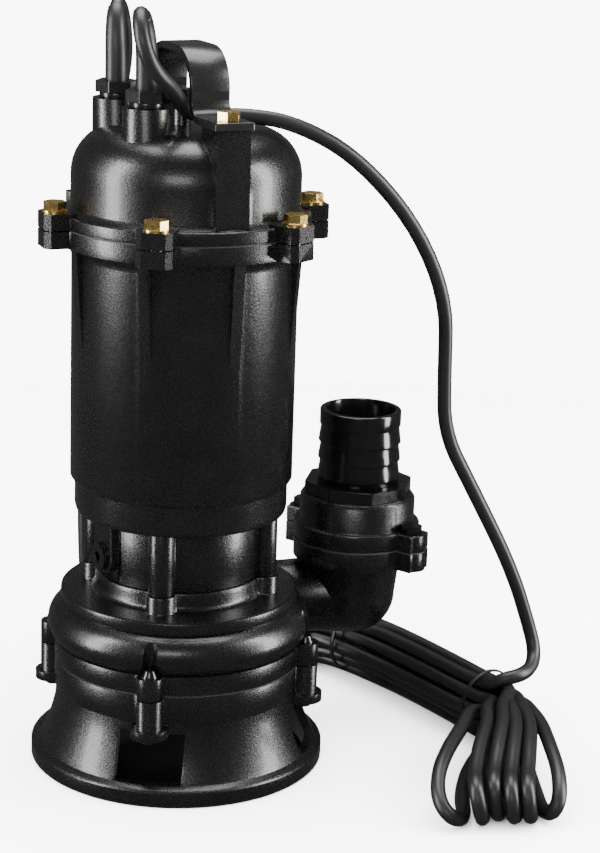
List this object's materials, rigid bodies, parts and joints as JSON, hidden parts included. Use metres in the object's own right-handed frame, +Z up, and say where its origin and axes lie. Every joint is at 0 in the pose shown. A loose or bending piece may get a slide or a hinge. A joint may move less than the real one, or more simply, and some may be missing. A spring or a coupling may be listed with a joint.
{
  "type": "submersible sewage pump",
  "caption": "Upright submersible sewage pump on a windowed skirt, with a strap handle, a side outlet ending in a barbed hose coupling, a coiled supply lead and a switch lead.",
  "frame": {"origin": "on the pump's axis, on the surface that the foot ring stands on", "axes": "+Z up along the shaft, +X towards the side that the outlet is on, -Y towards the front"},
  "size_m": [0.3303, 0.4239, 0.4696],
  "materials": {
    "cast_enamel": "gloss black enamel on rough cast iron",
    "strap_enamel": "satin black enamel on bent steel strap",
    "zinc_steel": "yellow passivated zinc on steel",
    "enamelled_steel": "gloss black enamel over steel",
    "barb_plastic": "gloss black moulded plastic",
    "cable_rubber": "matte dark rubber sheath",
    "seal_rubber": "matte black nitrile rubber",
    "tie_plastic": "matte black nylon",
    "gland_nylon": "matte black nylon",
    "grey_iron": "machined grey iron",
    "tool_steel": "hardened and ground steel",
    "lamination_steel": "stacked electrical steel",
    "copper": "enamelled copper wire",
    "cast_aluminium": "die-cast aluminium",
    "stainless_steel": "turned stainless steel",
    "bearing_steel": "polished bearing steel",
    "ceramic": "lapped white ceramic",
    "carbon": "lapped carbon",
    "moulded_plastic": "moulded insulating plastic",
    "plug_rubber": "satin moulded rubber"
  },
  "bodies": {
    "pump": {"base_skirt": "cast_enamel", "suction_plate": "cast_enamel", "volute_casing": "cast_enamel", "seal_plate": "cast_enamel", "oil_chamber": "cast_enamel", "motor_housing": "cast_enamel", "top_cover": "cast_enamel", "outlet_body": "cast_enamel", "handle": "strap_enamel", "cover_bolts": "zinc_steel", "cover_washers": "zinc_steel", "handle_bolts": "zinc_steel", "suction_plate_screws": "enamelled_steel", "base_bolts": "enamelled_steel", "chamber_bolts": "enamelled_steel", "outlet_bolts": "enamelled_steel", "oil_plug": "enamelled_steel", "oil_plug_washer": "enamelled_steel", "vent_plug": "enamelled_steel", "coupling_collar": "barb_plastic", "hose_coupling": "barb_plastic", "supply_cord": "cable_rubber", "switch_lead": "cable_rubber", "supply_cord_hank": "cable_rubber", "switch_lead_coil": "cable_rubber", "gland_sleeves": "cable_rubber", "volute_gasket": "seal_rubber", "cover_gasket": "seal_rubber", "outlet_gasket": "seal_rubber", "lip_seal": "seal_rubber", "hank_ties": "tie_plastic", "coil_tie": "tie_plastic", "gland_bodies": "gland_nylon", "gland_nuts": "gland_nylon", "bearing_bracket": "grey_iron", "stator_core": "lamination_steel", "stator_windings": "copper", "flap_pin": "stainless_steel", "wave_spring": "stainless_steel", "lower_bearing_outer": "bearing_steel", "upper_bearing_outer": "bearing_steel", "seal_seat": "ceramic", "run_capacitor": "moulded_plastic", "terminal_block": "moulded_plastic", "switch_lead_connector": "moulded_plastic", "supply_plug": "plug_rubber"},
    "rotor": {"shaft": "stainless_steel", "rotor_core": "lamination_steel", "rotor_cage": "cast_aluminium", "lower_bearing_inner": "bearing_steel", "upper_bearing_inner": "bearing_steel", "impeller": "grey_iron", "impeller_key": "stainless_steel", "cutter": "tool_steel", "seal_ring": "carbon", "seal_spring": "stainless_steel", "seal_collar": "stainless_steel"},
    "lower_balls": {"lower_bearing_balls": "bearing_steel"},
    "upper_balls": {"upper_bearing_balls": "bearing_steel"},
    "flap": {"check_flap": "seal_rubber"}
  },
  "joints": [
    {"name": "rotor_spin", "type": "hinge", "parent": "pump", "child": "rotor", "pos_m": [0, 0, 0], "axis": [0, 0, 1], "continuous": true},
    {"name": "lower_cage_spin", "type": "hinge", "parent": "pump", "child": "lower_balls", "pos_m": [0, 0, 0], "axis": [0, 0, 1], "continuous": true},
    {"name": "upper_cage_spin", "type": "hinge", "parent": "pump", "child": "upper_balls", "pos_m": [0, 0, 0], "axis": [0, 0, 1], "continuous": true},
    {"name": "flap_hinge", "type": "hinge", "parent": "pump", "child": "flap", "pos_m": [0.092, 0.0756, 0.135], "axis": [0, -1, 0], "range_deg": [0, 45]}
  ],
  "couplings": [
    {"joint": "lower_cage_spin", "follows": "rotor_spin", "ratio": 0.3836},
    {"joint": "upper_cage_spin", "follows": "rotor_spin", "ratio": 0.3842}
  ]
}
